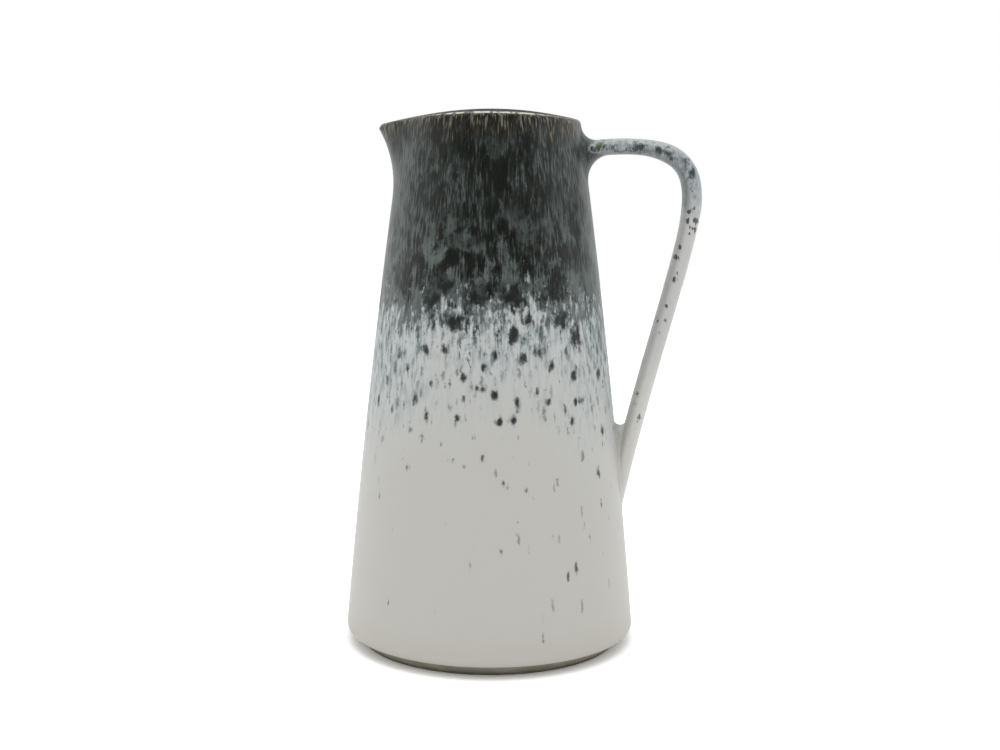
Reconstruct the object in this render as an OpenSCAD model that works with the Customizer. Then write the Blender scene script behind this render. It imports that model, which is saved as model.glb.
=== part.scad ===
// Stoneware jug: a tapering body with a pulled lip and an arched mouth, a strap handle luted on
// with slip at both ends, and the coats of glaze that cover them down to a bare turned foot.
// The origin is the middle of the foot on the table. +Z is up, the handle is at +X, the lip at -X.

/* [Body] */
// Height of the mouth at its crest, front and back
body_h = 251; // [215:1:290]
// Radius that the wall would have at the table, over the glaze
base_r = 68.8; // [62:0.2:78]
// Radius of the mouth, over the glaze
rim_r = 40.4; // [37:0.2:46]
// How far the wall bows out of a straight cone at half height
belly = 1.8; // [0:0.1:4]
// Clay wall at the table
wall_base_t = 5.4; // [4.5:0.1:7]
// Clay wall at the mouth
wall_rim_t = 3.2; // [2.6:0.1:4]
// Clay floor over the hollow under the foot
floor_t = 6; // [4:0.1:9]
// Radius of the turn from the floor to the wall, inside
floor_turn_r = 12; // [6:0.5:18]

/* [Foot] */
// Outer radius of the ring that the jug stands on
foot_r = 60.4; // [56:0.2:61]
// Width of that ring's flat face
foot_w = 6.4; // [4:0.1:9]
// Height of the bare turned foot, up to the edge of the glaze
foot_h = 6.4; // [5:0.1:9]
// Height of the small broken edge round the ring
foot_edge_h = 1.8; // [1:0.1:2.6]
// How far that edge leans out
foot_edge_w = 1.4; // [0.6:0.1:2]
// Depth of the hollow under the jug
hollow_h = 3; // [1.5:0.1:5]

/* [Mouth and lip] */
// Height of the part of the wall that is stretched with the arch of the mouth
neck_h = 46; // [44:1:54]
// How far the arch of the mouth falls from its crest to the sides of the round mouth
mouth_drop = 4.2; // [0:0.1:8]
// Height over which the edge of the mouth is rounded
edge_h = 2.6; // [1.8:0.1:3.4]
// How far the lip is pulled out of the wall
lip_reach = 10.4; // [4:0.1:14]
// Height over which the lip grows out of the wall
lip_h = 33; // [24:0.5:38]
// Half of the angle that the lip takes up round the mouth
lip_half_angle = 42; // [34:1:52]

/* [Handle] */
// How far below the mouth's crest the middle of the strap leaves the wall
strap_top_drop = 18.4; // [17:0.2:21]
// How far the strap lifts its line as it leaves the wall
strap_lift = 6.2; // [4:0.2:9]
// How far the middle of the strap stands out past the radius of the mouth
strap_out = 53; // [44:0.5:60]
// How far below the mouth's crest the strap stands out furthest
strap_bend_drop = 41; // [36:0.5:46]
// Height at which the middle of the strap meets the wall at its lower end
strap_low_z = 77; // [66:1:92]
// Lean of the strap's long run from upright, in degrees
strap_lean = 12.5; // [11:0.5:15]
// Thickness of the strap where it leaves the wall
strap_top_t = 7.4; // [6:0.1:9]
// Thickness of the strap at its bend
strap_bend_t = 8.9; // [7:0.1:11]
// Thickness of the strap down its long run
strap_run_t = 8; // [7:0.1:10]
// Width of the strap where it leaves the wall
strap_top_w = 20; // [16:0.5:24]
// Width of the strap at its lower end
strap_low_w = 16; // [13:0.5:20]

/* [Luting] */
// Radius of the slip above the strap's top end
lute_over_r = 7; // [3:0.1:7.5]
// Radius of the slip under the strap's top end
lute_under_r = 12; // [6:0.1:13]
// Radius of the slip along both sides of the strap's ends
lute_side_r = 4.5; // [2.5:0.1:6]
// Radius of the slip in the narrow fork above the strap's lower end
fork_r = 2.8; // [2:0.1:3.6]
// Radius of the slip under the strap's lower end
toe_r = 8; // [4:0.2:10]

/* [Glaze] */
// Thickness of every coat of glaze
glaze_t = 0.6; // [0.4:0.05:0.9]
// How far below the mouth's crest the dark coat meets the white one and the liner
dark_h = 92; // [60:1:130]

/* [Hidden] */
$fn = 240;

clay_colour = "#b3aa9b";
white_colour = "#dcdcd6";
dark_colour = "#4c5557";
liner_colour = "#d3d0c6";
strap_colour = "#cfd1ce";

// How many steps each curved form is drawn in
low_steps = 8;
turn_steps = 6;
high_steps = 3;
neck_steps = 7;
edge_steps = 6;
lip_steps = 26;
round_steps = 34;
strap_sides = 24;
bend_steps = 14;
run_steps = 12;
lute_steps = 7;
halvings = 24;

// How far a cut runs on past the face that it opens
overrun = 4;
// How far the shaped upper wall reaches down into the turned lower one, and how much it stays
// within the turned one's two faces, so that the two join in a clean edge
lap_h = 2;
lap_step = 0.02;

// The lip's curve up the wall, how sharply it comes to a point, and the strap's squareness
lip_curve_share = 2.2;
lip_point_share = 4;
strap_round_share = 0.74;
// The strap's four controls, as shares of its reach, of its fall to the bend and of its long fall
shoulder_share = 0.82;
bend_rise_share = 0.8;
bend_fall_share = 0.147;
run_share = 0.469;
// Where on its way from end to end the strap starts and stops growing, and is down to its run
grow_start_share = 0.12;
grow_end_share = 0.26;
thin_end_share = 0.62;
// How far in from the wall the strap's line starts, as a share of its thickness, and how far its
// blank runs on into the wall at each end, as shares of its way
root_depth_share = 0.25;
top_root_share = 0.02;
low_root_share = 0.04;
// Between these shares of its way the strap is clear of the wall
clear_start_share = 0.12;
clear_end_share = 0.75;

neck_z = body_h - neck_h;
dark_z = body_h - dark_h;
facet_dip = out_r(dark_z) * (1 - cos((180 - lip_half_angle) / round_steps));
floor_z = hollow_h + floor_t;
turn_z = floor_z + floor_turn_r;
foot_in_r = foot_r - foot_w;
lip_top_z = mouth_z(180) - edge_h;
strap_top_z = body_h - strap_top_drop;
bend_z = body_h - strap_bend_drop;
bend_x = rim_r + strap_out;

function lerp(a, b, t) = a * (1 - t) + b * t;
function hold(t) = min(1, max(0, t));
function ease(t) = let (s = hold(t)) s * s * (3 - 2 * s);
function unit(v) = v / norm(v);
function add(v, i = 0) = i == len(v) - 1 ? v[i] : v[i] + add(v, i + 1);
function middle(v) = add(v) / len(v);
function backwards(v) = [for (i = [len(v) - 1 : -1 : 0]) v[i]];
function bez(p, t) = let (s = 1 - t)
    s * s * s * p[0] + 3 * s * s * t * p[1] + 3 * s * t * t * p[2] + t * t * t * p[3];
function bez_way(p, t) = let (s = 1 - t)
    3 * (s * s * (p[1] - p[0]) + 2 * s * t * (p[2] - p[1]) + t * t * (p[3] - p[2]));

// The glazed outside of the wall, the thickness of its clay, and the clay's two faces
function out_r(z) = let (t = z / body_h) lerp(base_r, rim_r, t) + belly * 4 * t * (1 - t);
function wall_t(z) = lerp(wall_base_t, wall_rim_t, z / body_h);
function clay_r(z) = out_r(z) - glaze_t;
function in_r(z) = clay_r(z) - wall_t(z);

// The turned lower wall's profile, outside and inside, grown by a coat of glaze or not
function outer_side(grow) = [for (i = [0 : low_steps])
    let (z = lerp(foot_h, dark_z, i / low_steps)) [clay_r(z) + grow, z]];
function inner_side(grow) = concat(
    [[0, floor_z + grow]],
    [for (i = [0 : turn_steps]) let (a = 90 * i / turn_steps, r = floor_turn_r - grow)
        [in_r(turn_z) - floor_turn_r + r * sin(a), turn_z - r * cos(a)]],
    [for (i = [1 : low_steps])
        let (z = lerp(turn_z, dark_z, i / low_steps)) [in_r(z) - grow, z]]);

// The mouth: an arch seen from the side, with a lip pulled out at half a turn from the handle
function lip_shape(a) = let (d = abs(a - 180) / lip_half_angle)
    d < 1 ? pow(cos(90 * d), lip_point_share) : 0;
function mouth_x(a) = rim_r * cos(a) - lip_reach * lip_shape(a);
function mouth_z(a) = body_h - mouth_drop * pow(mouth_x(a) / rim_r, 2);
function lip_push(a, z) =
    lip_reach * lip_shape(a) * pow(hold((z - lip_top_z + lip_h) / lip_h), lip_curve_share);

// A point of the shaped upper wall at an angle and a height, some depth in from the glazed outside
function shaped_point(a, z, depth) = let (r = out_r(z) - depth)
    [r * cos(a) - lip_push(a, z), r * sin(a), z];

// Its heights at an angle: level up to the neck, then stretched up to the edge of the mouth
shaped_steps = high_steps + neck_steps;
function shaped_z(a, j) = j < high_steps
    ? lerp(dark_z, neck_z, j / high_steps)
    : lerp(neck_z, mouth_z(a) - edge_h, (j - high_steps) / neck_steps);

// Angles round it, closer together over the lip
shaped_angles = concat(
    [for (i = [0 : lip_steps - 1]) 180 + lip_half_angle * (2 * i / lip_steps - 1)],
    [for (i = [0 : round_steps - 1])
        180 + lip_half_angle + (360 - 2 * lip_half_angle) * i / round_steps]);

// How deep its two skins lie, and one that turns from the outer to the inner as t goes from 0 to 1
function outer_depth(deep) = deep + lap_step;
function inner_depth(z, deep) = 2 * glaze_t + wall_t(z) - deep - lap_step - facet_dip;
function skin_depth(z, deep, t) = lerp(outer_depth(deep), inner_depth(z, deep), t);

// Up the outside from a height, over the edge of the mouth and down the inside
function shaped_side(a, deep, from_z) = concat(
    [shaped_point(a, from_z, outer_depth(deep))],
    [for (j = [1 : shaped_steps]) shaped_point(a, shaped_z(a, j), outer_depth(deep))],
    [for (k = [1 : edge_steps - 1]) let (turn = 180 * k / edge_steps, z = mouth_z(a) - edge_h)
        shaped_point(a, z + (edge_h - deep) * sin(turn), skin_depth(z, deep, (1 - cos(turn)) / 2))],
    [for (j = [shaped_steps : -1 : 1]) let (z = shaped_z(a, j)) shaped_point(a, z, inner_depth(z, deep))],
    [shaped_point(a, from_z, inner_depth(from_z, deep))]);

// The strap's line in the plane y = 0, from its top end at 0 to its low end at 1 and straight on
function flat(x, z) = [x, 0, z];
top_end = flat(out_r(strap_top_z) - strap_top_t * root_depth_share, strap_top_z);
low_end = flat(out_r(strap_low_z), strap_low_z);
bend = flat(bend_x, bend_z);
upper_line = [top_end,
              top_end + flat(shoulder_share * (bend_x - top_end[0]), strap_lift),
              bend + flat(0, bend_rise_share * (strap_top_z - bend_z)),
              bend];
lower_line = [bend,
              bend - flat(0, bend_fall_share * (bend_z - strap_low_z)),
              low_end + run_share * (bend_z - strap_low_z) * flat(sin(strap_lean), cos(strap_lean)),
              low_end];
function strap_way(u) = 2 * (u < 0.5 ? bez_way(upper_line, hold(2 * u))
                                     : bez_way(lower_line, hold(2 * u - 1)));
function strap_line(u) = u < 0 ? top_end + strap_way(0) * u
    : u > 1 ? low_end + strap_way(1) * (u - 1)
    : u < 0.5 ? bez(upper_line, 2 * u) : bez(lower_line, 2 * u - 1);
function strap_t(u) = u < 0.5
    ? lerp(strap_top_t, strap_bend_t, ease((u - grow_start_share) / (grow_end_share - grow_start_share)))
    : lerp(strap_bend_t, strap_run_t, ease((u - 0.5) / (thin_end_share - 0.5)));
function strap_w(u) = lerp(strap_top_w, strap_low_w, ease(u));

// The strap's rounded oblong section: its rim and which way it faces, at an angle from the side
function bulge(c, power) = sign(c) * pow(abs(c), power);
function strap_up(u) = let (d = unit(strap_way(u))) flat(-d[2], d[0]);
function strap_point(u, a, deep) = strap_line(u)
    + (strap_w(u) / 2 - deep) * bulge(cos(a), strap_round_share) * [0, 1, 0]
    + (strap_t(u) / 2 - deep) * bulge(sin(a), strap_round_share) * strap_up(u);
function strap_faces(u, a) = unit(
    bulge(cos(a), 2 - strap_round_share) / strap_w(u) * [0, 1, 0]
    + bulge(sin(a), 2 - strap_round_share) / strap_t(u) * strap_up(u));
strap_angles = [for (i = [0 : strap_sides - 1]) 360 * i / strap_sides];
strap_stops = concat([-top_root_share],
                     [for (i = [0 : bend_steps]) i / bend_steps / 2],
                     [for (i = [1 : run_steps]) (1 + i / run_steps) / 2],
                     [1 + low_root_share]);
function strap_rings(deep) = [for (u = strap_stops) [for (a = strap_angles) strap_point(u, a, deep)]];

// Where an edge of the strap passes the glazed wall, between a stop inside it and one clear of it
function height_over_wall(p) = norm([p[0], p[1]]) - out_r(p[2]);
function crossing(a, inside, clear, n = halvings) = n == 0 ? inside
    : let (u = (inside + clear) / 2)
      height_over_wall(strap_point(u, a, 0)) < 0 ? crossing(a, u, clear, n - 1)
                                                 : crossing(a, inside, u, n - 1);
function onto_wall(p) = [sqrt(pow(out_r(p[2]), 2) - p[1] * p[1]), p[1], p[2]];
function wall_faces(p) = unit([p[0], p[1], norm([p[0], p[1]]) * wall_lean(p[2])]);
function wall_lean(z) = (out_r(z - edge_h) - out_r(z + edge_h)) / (2 * edge_h);

// One rib of the slip that fillets the strap to the wall: an arc from the strap to the wall,
// and on into the wall. Over and under are the arc's radii on the strap's outer and inner face.
function lute_rib(a, inside, clear, over, under) =
    let (u = crossing(a, inside, clear),
         q = strap_point(u, a, 0),
         way = sign(clear - inside) * strap_way(u),
         face = strap_faces(u, a),
         out = wall_faces(q),
         along = unit(face - (face * out) * out),
         part = pow(face * strap_up(u), 2),
         r = lerp(lute_side_r, sin(a) > 0 ? over : under, part),
         fork = acos(hold_both(unit(way) * along)),
         reach = r / tan(fork / 2) + glaze_t * max(0, -1 / tan(fork)),
         e = strap_point(u + sign(clear - inside) * reach / norm(way), a, 0),
         w = onto_wall(q + reach * along),
         k = 4 / 3 * tan((180 - fork) / 4) / tan((180 - fork) / 2),
         arc = [e, lerp(e, q, k), lerp(w, q, k), w])
    concat([for (i = [0 : lute_steps]) bez(arc, i / lute_steps)],
           [w - wall_rim_t / 2 * wall_faces(w)]);
function hold_both(c) = min(1, max(-1, c));

upper_ribs = [for (a = strap_angles)
    lute_rib(a, -top_root_share, clear_start_share, lute_over_r, lute_under_r)];
lower_ribs = [for (a = strap_angles)
    lute_rib(a, 1 + low_root_share, clear_end_share, toe_r, fork_r)];

// The slip's outline on the wall, moved out from it or, below zero, into it
function lute_outline(ribs, out) = [for (r = ribs)
    let (w = r[lute_steps]) w + out * unit(w - r[lute_steps + 1])];

// A closed solid through rings of points that turn anticlockwise as the way ahead is looked at
// from in front, with a fan to the middle of each end ring
module loft(rings) {
    n = len(rings[0]);
    m = len(rings);
    sides = [for (j = [0 : m - 2], i = [0 : n - 1])
        let (k = (i + 1) % n, a = j * n + i, b = j * n + k, c = b + n, d = a + n)
        each [[a, c, b], [a, d, c]]];
    ends = [for (i = [0 : n - 1]) let (k = (i + 1) % n)
        each [[i, k, m * n], [(m - 1) * n + k, (m - 1) * n + i, m * n + 1]]];
    polyhedron(concat([for (r = rings) each r], [middle(rings[0]), middle(rings[m - 1])]),
               concat(sides, ends));
}

// A closed hoop through closed loops of points that stand side by side in a circle
module hoop(loops) {
    n = len(loops[0]);
    m = len(loops);
    polyhedron([for (l = loops) each l], [for (i = [0 : m - 1], j = [0 : n - 1])
        let (k = (i + 1) % m, l = (j + 1) % n,
             a = i * n + j, b = i * n + l, c = k * n + l, d = k * n + j)
        each [[a, b, c], [a, c, d]]]);
}

// The pot's clay filled solid, which copes the ends of the handle and the slip
module clay_core() {
    rotate_extrude() polygon(concat([[0, foot_h]], outer_side(0), [[0, dark_z]]));
    loft([for (j = [0 : shaped_steps]) [for (a = shaped_angles)
        shaped_point(a, j == 0 ? dark_z - lap_h : shaped_z(a, j), outer_depth(glaze_t))]]);
}

module strap_blank(deep) { loft(strap_rings(deep)); }

module upper_lute_blank() { loft([for (i = [lute_steps + 1 : -1 : 0]) [for (r = upper_ribs) r[i]]]); }

module lower_lute_blank() { loft([for (i = [0 : lute_steps + 1]) [for (r = lower_ribs) r[i]]]); }

// What the slip takes out of a coat of glaze, square through it
module upper_opening() { loft([for (out = [-wall_rim_t / 2, 0, overrun]) lute_outline(upper_ribs, out)]); }

module lower_opening() { loft([for (out = [overrun, 0, -wall_rim_t / 2]) lute_outline(lower_ribs, out)]); }

// Bare clay: foot, floor and wall, with the mouth and its lip
module body() {
    color(clay_colour) {
        rotate_extrude() polygon(concat(
            [[foot_in_r, 0], [foot_r, 0], [foot_r + foot_edge_w, foot_edge_h]],
            outer_side(0), backwards(inner_side(0)),
            [[0, hollow_h], [foot_in_r, hollow_h]]));
        hoop([for (a = shaped_angles) shaped_side(a, glaze_t, dark_z - lap_h)]);
    }
}

// The pulled strap of clay, coped to the wall at both ends
module handle() {
    color(clay_colour) difference() {
        strap_blank(glaze_t);
        clay_core();
    }
}

module upper_slip_joint() {
    color(strap_colour) difference() {
        upper_lute_blank();
        strap_blank(glaze_t);
        clay_core();
    }
}

module lower_slip_joint() {
    color(strap_colour) difference() {
        lower_lute_blank();
        strap_blank(glaze_t);
        clay_core();
    }
}

// The white coat on the outside, open where the lower slip joint comes through
module white_glaze() {
    color(white_colour) difference() {
        rotate_extrude() polygon(concat(outer_side(glaze_t), backwards(outer_side(0))));
        lower_opening();
    }
}

// The dark coat round the top, over the edge of the mouth and down the inside
module dark_glaze() {
    color(dark_colour) difference() {
        hoop([for (a = shaped_angles)
            concat(shaped_side(a, 0, dark_z), backwards(shaped_side(a, glaze_t, dark_z)))]);
        upper_opening();
    }
}

// The coat inside, over the floor and up to the dark one
module liner_glaze() {
    color(liner_colour)
        rotate_extrude() polygon(concat(inner_side(glaze_t), backwards(inner_side(0))));
}

// The coat round the strap, between the slip joints
module handle_glaze() {
    color(strap_colour) difference() {
        strap_blank(0);
        strap_blank(glaze_t);
        upper_lute_blank();
        lower_lute_blank();
        clay_core();
    }
}

body();
handle();
upper_slip_joint();
lower_slip_joint();
white_glaze();
dark_glaze();
liner_glaze();
handle_glaze();
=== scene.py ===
import math
import bpy
from mathutils import Matrix, Vector


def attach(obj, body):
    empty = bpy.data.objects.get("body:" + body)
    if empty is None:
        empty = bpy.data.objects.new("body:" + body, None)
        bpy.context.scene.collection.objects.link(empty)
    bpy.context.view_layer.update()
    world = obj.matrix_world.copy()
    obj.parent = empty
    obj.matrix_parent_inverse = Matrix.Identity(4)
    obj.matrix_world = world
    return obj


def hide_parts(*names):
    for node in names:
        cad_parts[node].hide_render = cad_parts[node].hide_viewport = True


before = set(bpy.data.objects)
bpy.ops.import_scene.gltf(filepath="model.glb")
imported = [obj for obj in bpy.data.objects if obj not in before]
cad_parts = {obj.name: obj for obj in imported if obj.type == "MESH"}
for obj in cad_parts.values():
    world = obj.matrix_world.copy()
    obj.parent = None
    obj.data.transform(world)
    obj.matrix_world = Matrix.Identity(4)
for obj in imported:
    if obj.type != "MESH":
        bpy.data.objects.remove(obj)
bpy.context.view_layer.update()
mm = 0.001  # all sizes below are in millimetres


def lerp(a, b, t):
    return a + (b - a) * t


def hold(t, low=0.0, high=1.0):
    return min(high, max(low, t))


def ease(t):
    s = hold(t)
    return s * s * (3 - 2 * s)


def steps(a, b, count):
    return [lerp(a, b, i / count) for i in range(count + 1)]


# Node helpers, for shaders and for geometry alike. A socket knows the tree it is part of.

def feed(value, socket):
    if isinstance(value, bpy.types.NodeSocket):
        socket.id_data.links.new(value, socket)
    else:
        socket.default_value = value


def addNode(tree, kind, inputs=None, **settings):
    node = tree.nodes.new(kind)
    for name, value in settings.items():
        setattr(node, name, value)
    for name, value in (inputs or {}).items():
        feed(value, node.inputs[name])
    return node


def mathNode(kind, values, **settings):
    tree = next(value.id_data for value in values if isinstance(value, bpy.types.NodeSocket))
    node = addNode(tree, kind, **settings)
    for i, value in enumerate(values):
        feed(value, node.inputs[i])
    return node.outputs[0]


def calc(operation, *values, clamp=False):
    return mathNode("ShaderNodeMath", values, operation=operation, use_clamp=clamp)


def vectorCalc(operation, *values):
    return mathNode("ShaderNodeVectorMath", values, operation=operation)


def scaled(place, factor):  # a vector made longer or shorter
    result = vectorCalc("SCALE", place)
    result.node.inputs["Scale"].default_value = factor
    return result


def split(place):
    return addNode(place.id_data, "ShaderNodeSeparateXYZ", {"Vector": place}).outputs


def join(x, y, z):
    return addNode(x.id_data, "ShaderNodeCombineXYZ", {"X": x, "Y": y, "Z": z}).outputs[0]


def times(*values):
    result = values[0]
    for value in values[1:]:
        result = calc("MULTIPLY", result, value)
    return result


def total(*values):
    result = values[0]
    for value in values[1:]:
        result = calc("ADD", result, value)
    return result


def less(value, taken):
    return calc("SUBTRACT", value, taken)


def sloped(value, slope, start):
    return calc("MULTIPLY_ADD", value, slope, start)


def swing(value, reach):  # noise around its middle, as plus or minus
    return sloped(value, reach, -0.5 * reach)


def softStep(value, low, high, start=0.0, end=1.0):
    return addNode(value.id_data, "ShaderNodeMapRange",
                   {"Value": value, "From Min": low, "From Max": high, "To Min": start, "To Max": end},
                   interpolation_type="SMOOTHSTEP").outputs["Result"]


def layOver(colour, *layers):  # a layer is the share of the surface that it covers, and its colour
    for share, over in layers:
        node = addNode(share.id_data, "ShaderNodeMix", data_type="RGBA")
        for i, value in ((0, share), (6, colour), (7, over)):
            feed(value, node.inputs[i])
        colour = node.outputs[2]
    return colour


def noise(place, scale, detail, roughness=0.5):
    return addNode(place.id_data, "ShaderNodeTexNoise",
                   {"Vector": place, "Scale": scale, "Detail": detail, "Roughness": roughness}).outputs


def paint(red, green, blue):  # a colour as it is seen, 0 to 255
    def linear(c):
        c = c / 255
        return c / 12.92 if c <= 0.04045 else ((c + 0.055) / 1.055) ** 2.4
    return (linear(red), linear(green), linear(blue), 1.0)


def freshTree(owner):
    owner.use_nodes = True
    owner.node_tree.nodes.clear()
    return owner.node_tree


def putInScene(name, data):
    made = bpy.data.objects.new(name, data)
    bpy.context.scene.collection.objects.link(made)
    return made


socketKinds = {"Place": "Vector", "Color": "Color", "Geometry": "Geometry", "Material": "Material"}


def newGroup(name, inputs, outputs, kind="ShaderNodeTree"):
    tree = bpy.data.node_groups.new(name, kind)
    for way, titles in (("INPUT", inputs), ("OUTPUT", outputs)):
        for title in titles:
            socketKind = "NodeSocket" + socketKinds.get(title, "Float")
            tree.interface.new_socket(name=title, in_out=way, socket_type=socketKind)
    return tree, tree.nodes.new("NodeGroupInput").outputs, tree.nodes.new("NodeGroupOutput").inputs


def placeGroup(group, inputs):
    return addNode(inputs["Place"].id_data, "ShaderNodeGroup", inputs, node_tree=group).outputs


# Glaze effects that the coats share. Place is in millimetres.

def makeStreaks():
    tree, given, out = newGroup("glazeStreaks", ["Place", "Width", "Length", "Seed"], ["Value"])
    size = join(given["Width"], given["Width"], given["Length"])
    made = addNode(tree, "ShaderNodeTexNoise",
                   {"Vector": vectorCalc("DIVIDE", given["Place"], size), "W": given["Seed"],
                    "Scale": 1.0, "Detail": 1.5, "Roughness": 0.55}, noise_dimensions="4D")
    feed(made.outputs["Fac"], out["Value"])
    return tree


def makeFlecks():
    # One fleck to a cell: a dark drop that fades upwards into a tail
    tree, given, out = newGroup("glazeFlecks", ["Place", "Share", "Cell", "Stretch", "Size", "Tail", "Soft"],
                                ["Mask"])
    size = join(given["Cell"], given["Cell"], times(given["Cell"], given["Stretch"]))
    place = vectorCalc("DIVIDE", given["Place"], size)
    cell = addNode(tree, "ShaderNodeTexVoronoi", {"Vector": place, "Scale": 1.0}).outputs
    chance = addNode(tree, "ShaderNodeSeparateColor", {"Color": cell["Color"]}).outputs
    x, y, z = split(vectorCalc("SUBTRACT", place, cell["Position"]))
    shorter = less(1.0, times(calc("GREATER_THAN", z, 0.0), given["Tail"]))
    reach = calc("SQRT", total(times(x, x), times(y, y), times(z, z, shorter, shorter)))
    radius = times(given["Size"], sloped(chance["Green"], 0.65, 0.35))
    core = times(radius, less(1.0, given["Soft"]))
    there = calc("LESS_THAN", chance["Red"], given["Share"])
    strength = sloped(chance["Blue"], 0.6, 0.4)
    feed(times(softStep(reach, radius, core), there, strength), out["Mask"])
    return tree


glazeStreaks = makeStreaks()
glazeFlecks = makeFlecks()


def streaks(place, width, length, seed):
    return placeGroup(glazeStreaks, {"Place": place, "Width": width, "Length": length, "Seed": seed})["Value"]


def flecks(place, share, cell, stretch, size, tail, soft):
    return placeGroup(glazeFlecks, {"Place": place, "Share": share, "Cell": cell, "Stretch": stretch,
                                    "Size": size, "Tail": tail, "Soft": soft})["Mask"]


wallGlazeValues = {
    "warmWhite": paint(188, 187, 182),
    "coolWhite": paint(186, 192, 192),
    "footBeige": paint(186, 183, 174),
    "rain": paint(122, 134, 138),
    "smoke": paint(104, 114, 114),
    "fineFleck": paint(86, 96, 97),
    "midFleck": paint(58, 67, 66),
    "lowFleck": paint(104, 110, 110),
    "charcoal": paint(22, 26, 20),
    "slate": paint(47, 54, 51),
    "paleStreak": paint(92, 100, 98),
    "web": paint(104, 114, 111),
    "lavender": paint(60, 64, 74),
    "olive": paint(10, 12, 7),
    "umber": paint(28, 24, 14),
    "rust": paint(56, 42, 26),
    "beigeDrip": paint(122, 119, 106),
    # pale line on the edge of the mouth: glaze breaking thin, and a painted highlight
    "edgeBreakAndHighlight": paint(214, 212, 200),
    "insideBrown": paint(36, 32, 26),
    "insidePale": paint(70, 61, 49),
    "halfWay": 162.0,       # height where dark and white share the wall evenly
    "thinning": 0.03,       # how fast the dark gives way below that, for each millimetre
    "closing": 0.034,       # and how fast it closes above
    "rimBrown": 8.0,        # how far the brown reaches down from the mouth
    "wobble": 1.8,          # how far the loose patterns stray
    "clotSize": (5.6, 5.6, 7.4),
    "rough": 0.46,          # of the white; the dark is smoother
    # Zones: the height where each starts and the height where it is full
    "coolZone": (78, 172),
    "rainZone": (82, 168),
    "fineZone": (88, 164),
    "midZone": (100, 164),
    "bigZone": (120, 162),
    "lowZone": (54, 116),
    "clearZone": (16, 80),
    "footZone": (24, 8),
    "clotZone": (212, 176),
    "lipZone": (248.2, 250),
    # Streaks that run straight down the wall: width, length, seed
    "broad": (15, 20, 3.1),
    "run": (2.6, 9, 5.7),
    "thin": (0.9, 14, 1.3),
    "hair": (0.45, 12, 8.9),
    "swell": (9, 9, 7.7),
    "bluish": (8, 20, 6.6),
    "rusty": (3, 8, 4.4),
    "dripLine": (0.8, 22, 7.2),
    "dripEnd": (1.6, 30, 2.7),
    "dripGroup": (7, 30, 5.1),
    # and loose ones
    "patch": (5.5, 9, 2.2),
    "crumb": (1.2, 2.2, 4.9),
    "drops": (1.9, 3.4, 9.3),
    "cloud": (12, 22, 14.6),
    # Flecks: cell, stretch, size, tail, softness
    "fineFlecks": (2.2, 2.6, 0.56, 0.6, 0.9),
    "midFlecks": (3, 2.2, 0.56, 0.65, 0.9),
    "bigFlecks": (4.8, 1.7, 0.58, 0.5, 0.95),
    "lowFlecks": (4, 1.7, 0.19, 0.5, 0.9),
}


wallShares = ["rimDepth", "insideShare", "blotShare"]
handleShares = ["bandShare", "underShadeShare", "markShare", "greenShare"]
glazeOutputs = ["Color", "Roughness", "Height"]


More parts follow.
